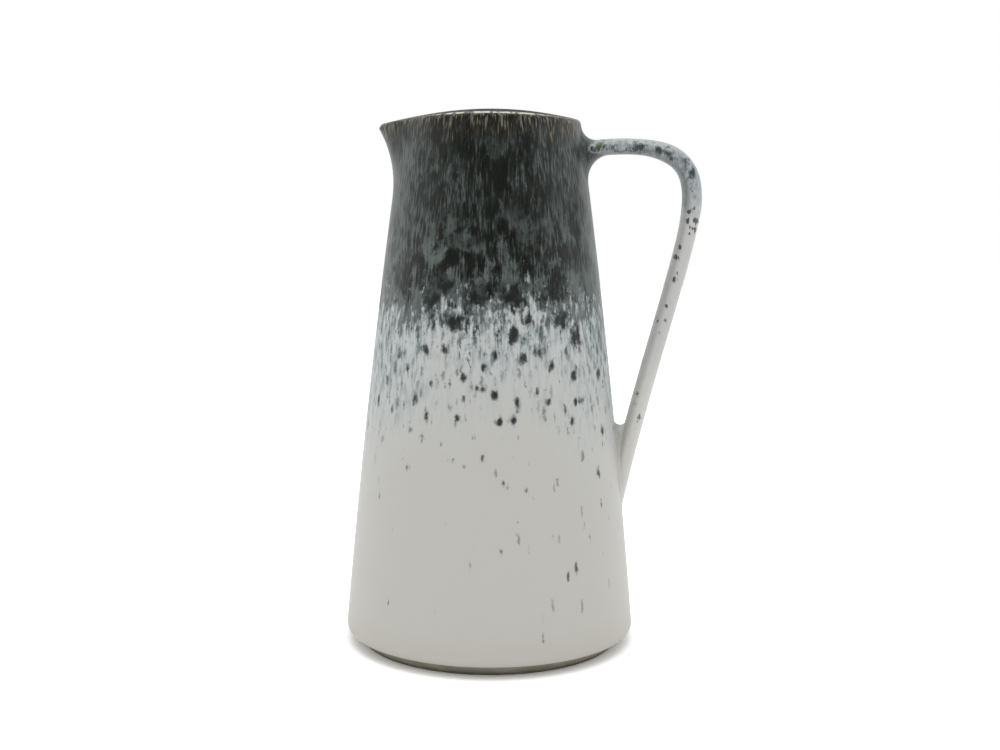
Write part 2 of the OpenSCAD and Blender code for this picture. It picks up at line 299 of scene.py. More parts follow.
def makeWallGlaze(v):
    tree, given, out = newGroup("wallGlaze", ["Place"] + wallShares, glazeOutputs)
    place = given["Place"]
    rimDepth, inside, blotShare = (given[name] for name in wallShares)
    stray = vectorCalc("SUBTRACT", noise(place, 0.7, 1.0)["Color"], (0.5, 0.5, 0.5))
    loose = vectorCalc("ADD", place, scaled(stray, v["wobble"]))
    x, y, z = split(place)
    broad, run, thin, hair = (streaks(place, *v[name]) for name in ("broad", "run", "thin", "hair"))
    patch, crumb, drops, cloud = (streaks(loose, *v[name]) for name in ("patch", "crumb", "drops", "cloud"))

    # How much of the dark there is: all at the top, a broken band, then single drops
    above = less(z, v["halfWay"])
    amount = total(0.5, times(calc("MINIMUM", above, 0.0), v["thinning"]),
                   times(calc("MAXIMUM", above, 0.0), v["closing"]))
    broken = total(amount, swing(crumb, 0.6), swing(drops, 1.3), swing(run, 1.0),
                   swing(patch, 1.0), swing(broad, 0.9), swing(thin, 0.8))
    smoke = softStep(broken, 0.14, 0.6)
    dark = softStep(broken, 0.36, 0.78)

    # White ground: warm low down, bluish towards the dark coat, with rain-like runs and flecks
    aside = times(x, x, 1 / 3200)  # 0 in the middle of the front, about 0.8 at the dark coat's sides
    wide = total(z, swing(broad, 60.0), swing(run, 24.0), sloped(aside, 30.0, -13.0))
    near = softStep(wide, *v["rainZone"])
    rain = times(softStep(total(times(thin, 0.7), times(run, 0.5)), 0.52, 0.74), near, near, 0.9)
    fine = flecks(loose, softStep(wide, *v["fineZone"], 0.02, 1.0), *v["fineFlecks"])
    middle = flecks(loose, softStep(wide, *v["midZone"], 0.02, 1.0), *v["midFlecks"])
    big = flecks(loose, softStep(wide, *v["bigZone"]), *v["bigFlecks"])
    low = flecks(loose, softStep(z, *v["lowZone"], 0.03, 0.9), *v["lowFlecks"])
    low = times(low, softStep(z, *v["clearZone"], 0.4, 0.85))
    ground = layOver(v["warmWhite"], (softStep(wide, *v["coolZone"]), v["coolWhite"]),
                     (softStep(z, *v["footZone"], 0.0, 0.8), v["footBeige"]), (rain, v["rain"]),
                     (times(fine, 0.8), v["fineFleck"]), (times(middle, 0.95), v["midFleck"]),
                     (big, v["charcoal"]), (low, v["lowFleck"]), (times(smoke, 0.75), v["smoke"]))

    # Dark coat: charcoal and slate in fine vertical runs, with paler hairs and olive-black clots
    # Paler and more slate towards the sides, here and in the pale streaks below: painted sheen, the lighter
    # edges that a reflection gives
    sides = sloped(aside, 0.24, -0.045)
    mixed = total(times(cloud, 0.9), times(patch, 0.35), times(run, 0.45), times(thin, 0.7), sides)
    bluish = times(softStep(streaks(place, *v["bluish"]), 0.54, 0.7), 0.35)
    cells = addNode(tree, "ShaderNodeTexVoronoi",
                    {"Vector": vectorCalc("DIVIDE", loose, v["clotSize"]), "Scale": 1.0},
                    feature="SMOOTH_F1").outputs["Distance"]
    cells = total(cells, swing(crumb, 0.6), swing(thin, 0.5), swing(patch, 0.7))
    edgeZone = softStep(total(z, swing(cloud, 60.0)), *v["clotZone"])
    web = times(softStep(cells, 0.4, 0.72), edgeZone, 0.7)
    clots = times(softStep(cells, 0.48, 0.22), sloped(edgeZone, 0.5, 0.5))
    fineRuns = total(times(thin, 0.5), times(hair, 0.5))
    pale = softStep(total(fineRuns, times(cloud, 0.45), sides), 0.68, 0.93)
    deep = layOver(v["charcoal"], (softStep(mixed, 1.02, 1.42), v["slate"]), (bluish, v["lavender"]),
                   (web, v["web"]), (clots, v["olive"]),
                   (times(pale, sloped(clots, -0.5, 0.85)), v["paleStreak"]),
                   (times(softStep(fineRuns, 0.5, 0.36), 0.45), v["charcoal"]))

    # Single large blots, at given places
    blotted = total(blotShare, swing(run, 1.1), swing(crumb, 0.7), swing(drops, 1.3))
    blot = times(softStep(blotted, 0.18, 0.8), softStep(blotShare, 0.0, 0.4))
    core = times(softStep(blotted, 0.46, 1.0), softStep(blotShare, 0.1, 0.5))

    # Brown where the glaze runs thin at the mouth, with beige drips and a pale line on the edge: the glaze
    # breaking thin there, with a painted highlight
    drop = total(rimDepth, swing(run, -30.0), swing(patch, -20.0))
    brown = softStep(drop, v["rimBrown"] + 6.0, v["rimBrown"] - 6.0)
    dripEnd = total(rimDepth, swing(streaks(place, *v["dripEnd"]), -50.0),
                    swing(streaks(place, *v["dripGroup"]), -50.0))
    drip = times(softStep(streaks(place, *v["dripLine"]), 0.48, 0.64), softStep(dripEnd, 15.0, 4.0))
    rim = layOver(v["umber"], (softStep(streaks(place, *v["rusty"]), 0.54, 0.68), v["rust"]),
                  (times(drip, 0.9), v["beigeDrip"]))
    # pale line along the crest: thin glaze, and a painted highlight on the lit top edge
    lipLineAndHighlight = times(softStep(inside, 0.1, 0.16), softStep(inside, 0.34, 0.26), softStep(z, *v["lipZone"]),
                softStep(run, 0.4, 0.56, 0.1, 0.9))

    # Inside, the same dark turns brown and ends over the plain liner
    insideRuns = softStep(total(times(run, 0.5), times(cloud, 0.5)), 0.44, 0.6)
    insideDark = layOver(v["insideBrown"], (insideRuns, v["insidePale"]))
    insideTone = layOver(v["warmWhite"], (softStep(amount, 0.3, 0.8), insideDark))

    colour = layOver(ground, (dark, deep), (times(blot, 0.75), v["midFleck"]),
                     (times(core, 0.85), v["olive"]), (times(brown, 0.9), rim),
                     (softStep(inside, 0.4, 0.6), insideTone), (lipLineAndHighlight, v["edgeBreakAndHighlight"]))
    feed(colour, out["Color"])
    feed(total(v["rough"], times(dark, -0.1), times(blot, 0.04)), out["Roughness"])
    height = total(times(streaks(place, *v["swell"]), 0.9), times(thin, 0.12), times(smoke, 0.2),
                   times(blot, 0.2))
    feed(height, out["Height"])
    return tree


handleGlazeValues = {
    "archWhite": paint(166, 172, 174),
    "runWhite": paint(193, 194, 191),
    # plain white low on the strap, lifted above the wall's white as painted light against the shade between
    # strap and wall
    "lowWhiteAndPaintedLight": paint(206, 205, 200),
    # greyer under the arch: painted shade
    "underShadeGrey": paint(128, 134, 136),
    "mottle": paint(94, 103, 105),
    "blotch": paint(44, 52, 50),
    "mark": paint(34, 38, 37),
    "green": paint(84, 92, 52),
    "archEnd": 196.0,       # below this height the strap turns plain
    "lowZone": (150, 110),
    "rough": 0.46,
    "fold": (1.6, 4, 2.9),
    "run": (1.8, 3.4, 12.1),
    "thin": (0.8, 2.2, 15.3),
    "patch": (6, 5, 13.7),
    "smallFlecks": (4.2, 1.3, 0.2, 0.3, 0.8),
}


def makeHandleGlaze(v):
    tree, given, out = newGroup("handleGlaze", ["Place"] + handleShares, glazeOutputs)
    place = given["Place"]
    bandShare, underShadeShare, markShare, greenShare = (given[name] for name in handleShares)
    z = split(place)["Z"]
    run, thin, patch = (streaks(place, *v[name]) for name in ("run", "thin", "patch"))
    arch = softStep(total(z, swing(patch, 30.0)), v["archEnd"], v["archEnd"] + 22.0)
    speckle = total(times(run, 0.55), times(thin, 0.45), times(bandShare, 0.1))
    mottle = times(softStep(speckle, 0.44, 0.7), sloped(arch, 0.6, 0.06))
    band = total(times(bandShare, 0.42), swing(run, 1.0), swing(patch, 2.6), swing(thin, 0.7))
    band = times(softStep(band, 0.04, 0.6), softStep(bandShare, 0.0, 0.3), 0.9)
    small = flecks(place, 0.45, *v["smallFlecks"])
    ragged = total(swing(run, 1.8), swing(thin, 1.6))
    mark = times(softStep(total(markShare, ragged), 0.28, 0.62), softStep(markShare, 0.05, 0.35))
    green = times(softStep(total(greenShare, ragged), 0.35, 0.85), softStep(greenShare, 0.05, 0.35), 0.7)
    # the low run's white includes painted light against the shade near the wall
    colour = layOver(v["runWhite"], (arch, v["archWhite"]), (softStep(z, *v["lowZone"]), v["lowWhiteAndPaintedLight"]),
                     # painted shade: the arch's underside greyer
                     (times(underShadeShare, arch, 0.8), v["underShadeGrey"]), (mottle, v["mottle"]),
                     (band, v["blotch"]), (times(small, 0.6), v["mark"]), (times(mark, 0.85), v["mark"]),
                     (green, v["green"]))
    feed(colour, out["Color"])
    feed(total(v["rough"], times(mark, 0.04)), out["Roughness"])
    feed(total(times(patch, 0.5), times(mark, 0.2), times(run, 0.15)), out["Height"])
    return tree


wallGlaze = makeWallGlaze(wallGlazeValues)
handleGlaze = makeHandleGlaze(handleGlazeValues)


def newMaterial(name):
    material = bpy.data.materials.new(name)
    tree = freshTree(material)
    shader = tree.nodes.new("ShaderNodeBsdfPrincipled")
    addNode(tree, "ShaderNodeOutputMaterial", {"Surface": shader.outputs["BSDF"]})
    where = addNode(tree, "ShaderNodeTexCoord").outputs["Object"]
    return material, shader, scaled(where, 1 / mm)


def readShares(place, *names):  # from the piece's own attributes of the same names
    return {name: addNode(place.id_data, "ShaderNodeAttribute", attribute_name=name,
                          attribute_type="GEOMETRY").outputs["Fac"] for name in names}


def finishGlaze(shader, colour, rough, height, relief, gloss):
    bump = addNode(shader.id_data, "ShaderNodeBump",
                   {"Distance": relief * mm, "Height": height}).outputs["Normal"]
    for name, value in (("Base Color", colour), ("Roughness", rough), ("Normal", bump),
                        ("Specular IOR Level", gloss)):
        feed(value, shader.inputs[name])


def wallCoatMaterial(name, gloss, relief):
    material, shader, place = newMaterial(name)
    made = placeGroup(wallGlaze, {"Place": place, **readShares(place, *wallShares)})
    finishGlaze(shader, made["Color"], made["Roughness"], made["Height"], relief, gloss)
    return material


def strapCoatMaterial(name, gloss, relief, fold=None):
    # With a fold colour, the wall's glaze turns into the strap's across a joint
    material, shader, place = newMaterial(name)
    made = placeGroup(handleGlaze, {"Place": place, **readShares(place, *handleShares)})
    colour, rough, height = made["Color"], made["Roughness"], made["Height"]
    if fold:
        shares = readShares(place, "rimDepth", "strapShare", "creaseShare")
        wallMade = placeGroup(wallGlaze, {"Place": place, "rimDepth": shares["rimDepth"]})
        ragged = total(shares["strapShare"], swing(streaks(place, *handleGlazeValues["fold"]), 0.6))
        onStrap = softStep(ragged, fold["start"], fold["start"] + 0.3)
        colour = layOver(wallMade["Color"], (onStrap, colour),
                         (times(shares["creaseShare"], fold["share"]), fold["colour"]))
        rough = calc("MAXIMUM", wallMade["Roughness"], rough)
        height = total(times(wallMade["Height"], less(1.0, onStrap)), times(height, onStrap))
    finishGlaze(shader, colour, rough, height, relief, gloss)
    return material


clayValues = {
    "clay": paint(126, 122, 108),
    "paleClay": paint(140, 136, 122),
    "grog": paint(96, 91, 79),
    # darker clay at the bottom of the foot, where it meets the table: painted contact shade
    "contactShade": paint(84, 79, 67),
    "contactShadeTop": 3.0,
    "relief": 0.08,
    "gloss": 0.3,
}


def clayMaterial(name, v):
    material, shader, place = newMaterial(name)
    cloud = noise(place, 0.12, 3.0)["Fac"]
    grain = noise(place, 2.4, 4.0, 0.7)["Fac"]
    rings = noise(vectorCalc("MULTIPLY", place, (0.05, 0.05, 3.2)), 1.0, 2.0)["Fac"]
    # darker towards the table: painted contact shade
    contactShade = softStep(split(place)["Z"], v["contactShadeTop"], 0.0, 0.0, 0.75)
    colour = layOver(v["clay"], (softStep(cloud, 0.38, 0.62), v["paleClay"]),
                     (softStep(grain, 0.58, 0.72, 0.0, 0.6), v["grog"]), (contactShade, v["contactShade"]))
    height = total(times(grain, 0.5), times(rings, 0.5))
    finishGlaze(shader, colour, sloped(grain, 0.2, 0.75), height, v["relief"], v["gloss"])
    return material


bareClay = clayMaterial("bareClay", clayValues)
strapClay = clayMaterial("strapClay", dict(clayValues, relief=0.05, contactShadeTop=0.1))
whiteCoat = wallCoatMaterial("whiteReactiveGlaze", gloss=0.3, relief=0.12)
darkCoat = wallCoatMaterial("darkReactiveGlaze", gloss=0.32, relief=0.14)
linerCoat = wallCoatMaterial("linerGlaze", gloss=0.4, relief=0.1)
strapCoat = strapCoatMaterial("strapGlaze", gloss=0.3, relief=0.12)
upperFold = {"start": 0.76, "share": 0.5, "colour": paint(34, 40, 40)}
lowerFold = {"start": 0.34, "share": 0.35, "colour": paint(96, 97, 92)}
upperJointCoat = strapCoatMaterial("upperJointGlaze", gloss=0.3, relief=0.12, fold=upperFold)
lowerJointCoat = strapCoatMaterial("lowerJointGlaze", gloss=0.3, relief=0.1, fold=lowerFold)
print("glazes and clay are mixed")

# The thrown and turned wall, which the clay and all its coats of glaze follow
wall = {
    "height": 251.0,        # to the crest of the mouth
    "baseRadius": 68.8,     # over the glaze
    "rimRadius": 40.4,
    "belly": 1.8,
    "baseClay": 5.4,        # thickness of the clay low down
    "rimClay": 3.2,         # and at the mouth
    "floorHeight": 9.0,     # top of the clay floor
    "floorTurn": 12.0,      # where the floor turns up into the wall
    "edgeHeight": 2.6,      # of the rounded edge of the mouth
    "glaze": 0.6,
    "coatsMeet": 159.0,     # height where the dark coat takes over
    "columns": 480,
}
edgeStart = wall["height"] - wall["edgeHeight"]
glaze = wall["glaze"]


def wallRadius(z):
    t = z / wall["height"]
    return lerp(wall["baseRadius"], wall["rimRadius"], t) + wall["belly"] * 4 * t * (1 - t)


def clayThickness(z):
    return lerp(wall["baseClay"], wall["rimClay"], z / wall["height"])


def wallSkin(z, deep, turn):  # turn goes from 0 on the outside to 1 on the inside
    return wallRadius(z) - lerp(deep, 2 * glaze + clayThickness(z) - deep, turn)


def outsideSkin(deep, heights):
    return [(wallSkin(z, deep, 0), z, 0.0) for z in heights]


def insideSkin(deep, heights):
    return [(wallSkin(z, deep, 1), z, 1.0) for z in heights]


def mouthEdge(deep, count):
    points = []
    for i in range(1, count):
        angle = math.pi * i / count
        z = edgeStart + (wall["edgeHeight"] - deep) * math.sin(angle)
        turn = (1 - math.cos(angle)) / 2
        points.append((wallSkin(z, deep, turn), z, turn))
    return points


def floorSkin(deep, count):  # up from the middle of the floor to where the wall starts
    turnHeight = wall["floorHeight"] + wall["floorTurn"]
    clayFace = wallRadius(turnHeight) - glaze - clayThickness(turnHeight)
    middle, radius = clayFace - wall["floorTurn"], wall["floorTurn"] - deep
    points = [(r, wall["floorHeight"] + deep, 1.0) for r in steps(0.0, middle, count)[:-1]]
    for angle in steps(0.0, math.pi / 2, count):
        points.append((middle + radius * math.sin(angle), turnHeight - radius * math.cos(angle), 1.0))
    return points


foot = {
    "insideRadius": 54.0,
    "radius": 60.4,         # where it meets the table
    "bevel": (61.8, 1.8),   # where the turned bevel starts
    "hollow": 3.0,
    "corner": 6.4,          # height of the corner between bevel and wall
    "cornerReach": 2.6,     # how far the corner is rounded each way
    "glazeEnd": 0.32,       # how far round the corner the glaze stops
    "bead": 0.16,           # how long its rounded end is, on the same measure
    "wear": 0.5,            # rounding of the foot's own edges
}


def cornerCurve(t):  # the clay's rounded corner, from the bevel at 0 to the wall at 1
    corner = Vector((wallRadius(foot["corner"]) - glaze, foot["corner"]))
    down = (Vector(foot["bevel"]) - corner).normalized()
    start = corner + foot["cornerReach"] * down
    topHeight = foot["corner"] + foot["cornerReach"]
    end = Vector((wallRadius(topHeight) - glaze, topHeight))
    point = start * (1 - t) ** 2 + corner * 2 * t * (1 - t) + end * t * t
    way = ((corner - start) * (1 - t) + (end - corner) * t).normalized()
    return point, Vector((way.y, -way.x))


def footCorner(count, start=0.0, thick=0.0):  # thick is the coat's, which ends in a rounded bead
    points = []
    for t in steps(start, 1.0, count):
        point, faces = cornerCurve(t)
        part = hold((t - foot["glazeEnd"]) / foot["bead"])
        point = point + faces * thick * math.sqrt(1 - (1 - part) ** 2)
        points.append((point.x, point.y, 0.0))
    return points


def shareAlong(lengths):  # where each length starts, as a share of them all
    return [sum(lengths[:k]) / sum(lengths) for k in range(len(lengths) + 1)]


def revolve(profile, closed):
    # profile points are (radius, height, inside share); closed joins the last to the first
    columns = wall["columns"]
    vertices, rings, depths, insides = [], [], [], []
    for radius, z, inside in profile:
        count = 1 if radius < 1e-6 else columns
        rings.append([len(vertices) + i % count for i in range(columns + 1)])
        for i in range(count):
            angle = 2 * math.pi * i / columns
            vertices.append((radius * math.cos(angle), radius * math.sin(angle), z))
            depths.append(wall["height"] - z)
            insides.append(inside)
    lengths = [math.dist(profile[k][:2], profile[(k + 1) % len(profile)][:2]) for k in range(len(profile))]
    if not closed:
        lengths[-1] = 0.0
    along = shareAlong(lengths)
    faces, uvs = [], []
    for k in range(len(profile) if closed else len(profile) - 1):
        low, high = rings[k], rings[(k + 1) % len(profile)]
        for i in range(columns):
            corners = [(low[i], i, k), (low[i + 1], i + 1, k),
                       (high[i + 1], i + 1, k + 1), (high[i], i, k + 1)]
            corners = [c for n, c in enumerate(corners) if c[0] != corners[n - 1][0]]
            faces.append([c[0] for c in corners])
            uvs += [(c[1] / columns, along[c[2]]) for c in corners]
    return vertices, faces, uvs, {"rimDepth": depths, "insideShare": insides}


sharpAngle = math.radians(50.0)


def makePiece(name, shape, material):
    vertices, faces, uvs, shares = shape
    mesh = bpy.data.meshes.new(name)
    mesh.from_pydata([[c * mm for c in v] for v in vertices], [], faces)
    layer = mesh.uv_layers.new(name="OFBake")
    layer.data.foreach_set("uv", [c for uv in uvs for c in uv])
    for title, values in shares.items():
        mesh.attributes.new(title, "FLOAT", "POINT").data.foreach_set("value", values)
    mesh.validate()
    mesh.polygons.foreach_set("use_smooth", [True] * len(mesh.polygons))
    mesh.set_sharp_from_angle(angle=sharpAngle)
    mesh.materials.append(material)
    return putInScene(name, mesh)


# The potter's last moves: the mouth is cut to an arch and the lip is pulled out of the wall
mouth = {
    "Height": wall["height"] * mm,
    "Neck start": 205.0 * mm,
    "Edge start": edgeStart * mm,
    "Base radius": wall["baseRadius"] * mm,
    "Rim radius": wall["rimRadius"] * mm,
    "Belly": wall["belly"] * mm,
    "Drop": 4.2 * mm,
    "Lip reach": 10.4 * mm,
    "Lip height": 33.0 * mm,
    "Lip half angle": math.radians(42.0),
    "Lip point": 4.0,
    "Lip curve": 2.2,
}


def makeShapeMouth():
    tree, given, out = newGroup("shapeMouth", ["Geometry", "Material", *mouth], ["Geometry"],
                                "GeometryNodeTree")
    rim, reach = given["Rim radius"], given["Lip reach"]

    def radiusAt(z):
        t = calc("DIVIDE", z, given["Height"])
        straight = sloped(t, less(rim, given["Base radius"]), given["Base radius"])
        return total(straight, times(given["Belly"], 4.0, t, less(1.0, t)))

    x, y, z = split(tree.nodes.new("GeometryNodeInputPosition").outputs[0])
    around = calc("ARCTAN2", y, x)
    fromLip = calc("DIVIDE", less(math.pi, calc("ABSOLUTE", around)), given["Lip half angle"], clamp=True)
    lipShape = calc("POWER", calc("COSINE", times(fromLip, math.pi / 2)), given["Lip point"])

    # The arch: the mouth drops to both sides, and the neck below it stretches
    edgeX = less(times(rim, calc("COSINE", around)), times(reach, lipShape))
    share = calc("DIVIDE", edgeX, rim)
    drop = times(given["Drop"], share, share)
    stretch = calc("DIVIDE", less(z, given["Neck start"]), less(given["Edge start"], given["Neck start"]),
                   clamp=True)
    newZ = less(z, times(drop, stretch))
    radius = calc("SQRT", total(times(x, x), times(y, y)))
    radius = total(radius, less(radiusAt(newZ), radiusAt(z)))

    # The lip: the wall is pushed out, most of all at the edge
    tip = calc("DIVIDE", total(rim, reach), rim)
    lipTop = less(given["Edge start"], times(given["Drop"], tip, tip))
    rise = calc("DIVIDE", total(less(newZ, lipTop), given["Lip height"]), given["Lip height"], clamp=True)
    push = times(reach, lipShape, calc("POWER", rise, given["Lip curve"]))
    newX = less(times(radius, calc("COSINE", around)), push)
    place = join(newX, times(radius, calc("SINE", around)), newZ)
    shaped = addNode(tree, "GeometryNodeSetPosition", {"Geometry": given["Geometry"], "Position": place})
    real = addNode(tree, "GeometryNodeRealizeInstances", {"Geometry": shaped.outputs[0]})
    done = addNode(tree, "GeometryNodeSetMaterial",
                   {"Geometry": real.outputs[0], "Material": given["Material"]})
    feed(done.outputs[0], out["Geometry"])
    return tree


shapeMouth = makeShapeMouth()


def pullLip(piece, material):
    modifier = piece.modifiers.new("shapeMouth", "NODES")
    modifier.node_group = shapeMouth
    values = dict(mouth, Material=material)
    for item in shapeMouth.interface.items_tree:
        if item.item_type == "SOCKET" and item.in_out == "INPUT" and item.name in values:
            modifier[item.identifier] = values[item.name]
    graph = bpy.context.evaluated_depsgraph_get()
    shaped = bpy.data.meshes.new_from_object(piece.evaluated_get(graph), preserve_all_data_layers=True,
                                             depsgraph=graph)
    plain = piece.data
    piece.modifiers.remove(modifier)
    piece.data = shaped
    bpy.data.meshes.remove(plain)
    shaped.name = piece.name
    return piece


def finishPiece(piece, node):
    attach(piece, "root")
    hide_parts(node)
    print(piece.name, "has", len(piece.data.polygons), "faces")


# Dark blots and drops: turn from the handle in degrees, height, half width, half length, strength
blots = [
    # Large, in the dark and at its edge
    (250.3, 224.2, 3.2, 5.5, 0.8), (290.3, 198, 4.6, 6, 0.8), (285, 205, 3.2, 4, 0.7),
    (256, 193.1, 5, 3, 0.8), (249.5, 194.5, 3, 3.5, 0.7), (246.6, 174.8, 5.2, 4, 1.08),
    (281.4, 170, 5.98, 6.25, 1.2), (251.8, 158.6, 4.68, 4.25, 1.2), (232.4, 233.5, 2.4, 2.4, 0.7),
    (270.5, 235, 4, 4.5, 0.7), (262, 168.5, 4.42, 5, 0.96), (240, 166, 4.68, 6.25, 0.96),
    # Drops on the white that faces the camera
    (281, 153.1, 2.57, 4.04, 1.2), (288.2, 159.4, 2.34, 2.85, 1.08), (248.4, 145.5, 1.98, 2.62, 1),
    (238.2, 145.2, 1.98, 2.62, 1), (221.8, 141.8, 1.68, 2.18, 0.9), (228, 136.2, 1.49, 1.97, 0.8),
    (233.8, 123.4, 1.49, 2.84, 0.9), (257.6, 134.1, 1.49, 1.97, 0.8), (242.5, 130.9, 1.39, 1.97, 0.8),
    (222.2, 126.9, 1.39, 2.18, 0.8), (206.7, 119, 1.49, 2.4, 0.9), (264.2, 130.3, 1.19, 1.53, 0.9),
    (266.5, 129.5, 1.19, 1.41, 0.9), (274.2, 114.6, 1.88, 2.18, 1), (280.8, 115.8, 1.58, 2.18, 0.95),
    (255.4, 116.8, 1.29, 1.75, 0.9), (240.9, 115.6, 1.29, 2.18, 0.8), (219.2, 116.5, 1.19, 1.85, 0.8),
    (282.3, 123.6, 1.39, 2.18, 0.9), (272, 126.9, 1.39, 1.97, 0.8), (266.9, 138.7, 1.49, 2.18, 0.9),
    (271.9, 144, 1.58, 2.4, 0.9), (285.7, 142.4, 1.78, 2.62, 1), (292.7, 144.7, 1.58, 2.4, 0.9),
    (299.7, 138.5, 1.49, 2.62, 0.9), (312.3, 132.9, 1.68, 3.06, 1), (332.5, 131.6, 1.98, 2.84, 0.9),
    (297.2, 122.8, 1.29, 1.97, 0.8), (291.9, 127.6, 1.39, 1.97, 0.8), (312.4, 121.2, 1.49, 1.97, 0.9),
    (316.4, 121.6, 1.39, 1.75, 0.9), (309.8, 113.4, 1.19, 1.75, 0.8), (331.5, 105.9, 1.39, 2.62, 0.9),
    (330.3, 99.2, 0.96, 1.71, 0.68), (324.9, 87.3, 1.2, 2.47, 0.85), (267.3, 99.1, 0.96, 1.71, 0.72),
    (254.2, 97.7, 0.8, 1.52, 0.59), (231.8, 92.1, 0.8, 1.71, 0.59), (272.8, 92.9, 0.88, 1.71, 0.68),
    (259.5, 95.3, 0.8, 1.42, 0.59), (248.5, 103.9, 0.9, 1.52, 0.75), (214, 102.3, 0.9, 1.71, 0.7),
    (232.6, 109.3, 0.99, 1.75, 0.7), (213.6, 83.2, 0.72, 2.09, 0.59), (215.4, 76.6, 0.72, 2.09, 0.59),
    (231.7, 71.6, 0.72, 1.71, 0.59), (275.8, 87.6, 0.72, 1.71, 0.59), (285.5, 84.5, 0.72, 1.71, 0.64),
    (300, 87.2, 0.72, 1.71, 0.59), (299.7, 60.7, 0.72, 2.28, 0.72), (316.3, 59.5, 0.64, 1.9, 0.59),
    (303.3, 43.7, 0.72, 2.66, 0.72), (274.8, 57.3, 0.64, 1.71, 0.59), (264.3, 59, 0.64, 1.52, 0.55),
    (262.4, 50.9, 0.64, 1.71, 0.55), (226.5, 29.6, 0.64, 1.71, 0.55),
    # On the sides and the back, in the same manner
    (307, 158.5, 3.9, 4, 1.08), (316, 150.5, 3.38, 4.25, 1.08), (20, 166, 4.94, 5.5, 1.08),
    (48, 156, 3.64, 4.5, 1.08), (75, 170, 5.72, 5, 1.08), (104, 159, 3.9, 5, 1.08),
    (133, 168, 4.94, 5.5, 1.08), (160, 152, 3.12, 4.5, 1.08), (188, 164, 4.42, 5.5, 1.08),
    (90, 205, 4.4, 6, 0.8), (120, 222, 3.4, 5, 0.8), (52, 215, 4, 6, 0.8),
    (66, 112, 1.76, 2.76, 0.9), (140, 96, 1.5, 2.6, 0.9), (98, 74, 1, 2.4, 0.8),
    (84, 138, 1.98, 2.76, 0.9), (112, 128, 1.76, 2.53, 0.9), (35, 126, 1.87, 2.76, 0.9),
    (150, 132, 1.98, 2.53, 0.9), (176, 122, 1.65, 2.53, 0.9), (58, 84, 1, 2, 0.8),
    (126, 60, 0.9, 2.2, 0.8), (30, 58, 0.9, 2.2, 0.8), (168, 78, 1, 2.2, 0.8),
]


def bell(*parts):  # 1 in the middle of a mark, half of that at its edge
    return math.exp(-0.7 * sum(part ** 2 for part in parts))


def paintBlots(shape):
    vertices, faces, uvs, shares = shape
    values = []
    for (x, y, z), inside in zip(vertices, shares["insideShare"]):
        share = 0.0
        if inside < 0.5:
            turn, radius = math.degrees(math.atan2(y, x)) % 360, math.hypot(x, y)
            for at, height, halfWidth, halfLength, strength in blots:
                if abs(z - height) < 3 * halfLength:
                    aside = math.radians((turn - at + 180) % 360 - 180) * radius / halfWidth
                    share = max(share, strength * bell(aside, (z - height) / halfLength))
        values.append(share)
    shares["blotShare"] = values
    return shape


def makeWallPiece(name, shape, material, node):
    finishPiece(pullLip(makePiece(name, shape, material), material), node)


coatsMeet = wall["coatsMeet"]
wallStart = foot["corner"] + foot["cornerReach"]
floorTop = wall["floorHeight"] + wall["floorTurn"]

# White coat, from the bead above the foot up to the dark coat
glazeEnd = foot["glazeEnd"]
profile = (footCorner(14, glazeEnd, glaze) + outsideSkin(0.0, steps(wallStart, coatsMeet, 150)[1:])
           + outsideSkin(glaze, steps(coatsMeet, wallStart, 12)[:-1]) + footCorner(6, glazeEnd)[::-1])
shape = paintBlots(revolve(profile[:-1], True))
makeWallPiece("whiteGlazeCoat", shape, whiteCoat, "white_glaze")

# Dark coat, up the outside, over the edge of the mouth and down the inside
profile = (outsideSkin(0.0, steps(coatsMeet, edgeStart, 90)) + mouthEdge(0.0, 14)
           + insideSkin(0.0, steps(edgeStart, coatsMeet, 36))
           + insideSkin(glaze, steps(coatsMeet, edgeStart, 12)) + mouthEdge(glaze, 6)[::-1]
           + outsideSkin(glaze, steps(edgeStart, coatsMeet, 12)))
makeWallPiece("darkGlazeCoat", paintBlots(revolve(profile, True)), darkCoat, "dark_glaze")

# Liner, over the floor and up the inside
profile = (floorSkin(glaze, 14) + insideSkin(0.0, steps(floorTop, coatsMeet, 70)[1:])
           + insideSkin(glaze, steps(coatsMeet, floorTop, 12)[:-1]) + floorSkin(0.0, 8)[::-1])
makeWallPiece("linerGlazeCoat", paintBlots(revolve(profile, False)), linerCoat, "liner_glaze")

# Bare clay under all of it, which shows at the foot and underneath
wear = foot["wear"]
profile = [(r, foot["hollow"], 0.0) for r in steps(0.0, foot["insideRadius"] - wear, 12)]
profile += [(foot["insideRadius"] + aside * wear, z, 0.0)
            for aside, z in ((0.0, foot["hollow"] - wear), (0.0, wear), (0.3, 0.3 * wear), (1.0, 0.0))]
profile += [(foot["radius"] - wear, 0.0, 0.0), (foot["radius"] - 0.1 * wear, 0.35 * wear, 0.0)]
profile += [(lerp(foot["radius"], foot["bevel"][0], t), lerp(wear, foot["bevel"][1], t), 0.0)
            for t in (0.2, 0.6, 1.0)]
profile += (footCorner(10) + outsideSkin(glaze, steps(wallStart, edgeStart, 60)[1:]) + mouthEdge(glaze, 6)
            + insideSkin(glaze, steps(edgeStart, floorTop, 50)) + floorSkin(0.0, 8)[::-1][1:])
makeWallPiece("clayBody", revolve(profile, False), bareClay, "body")
print("the wall stands")

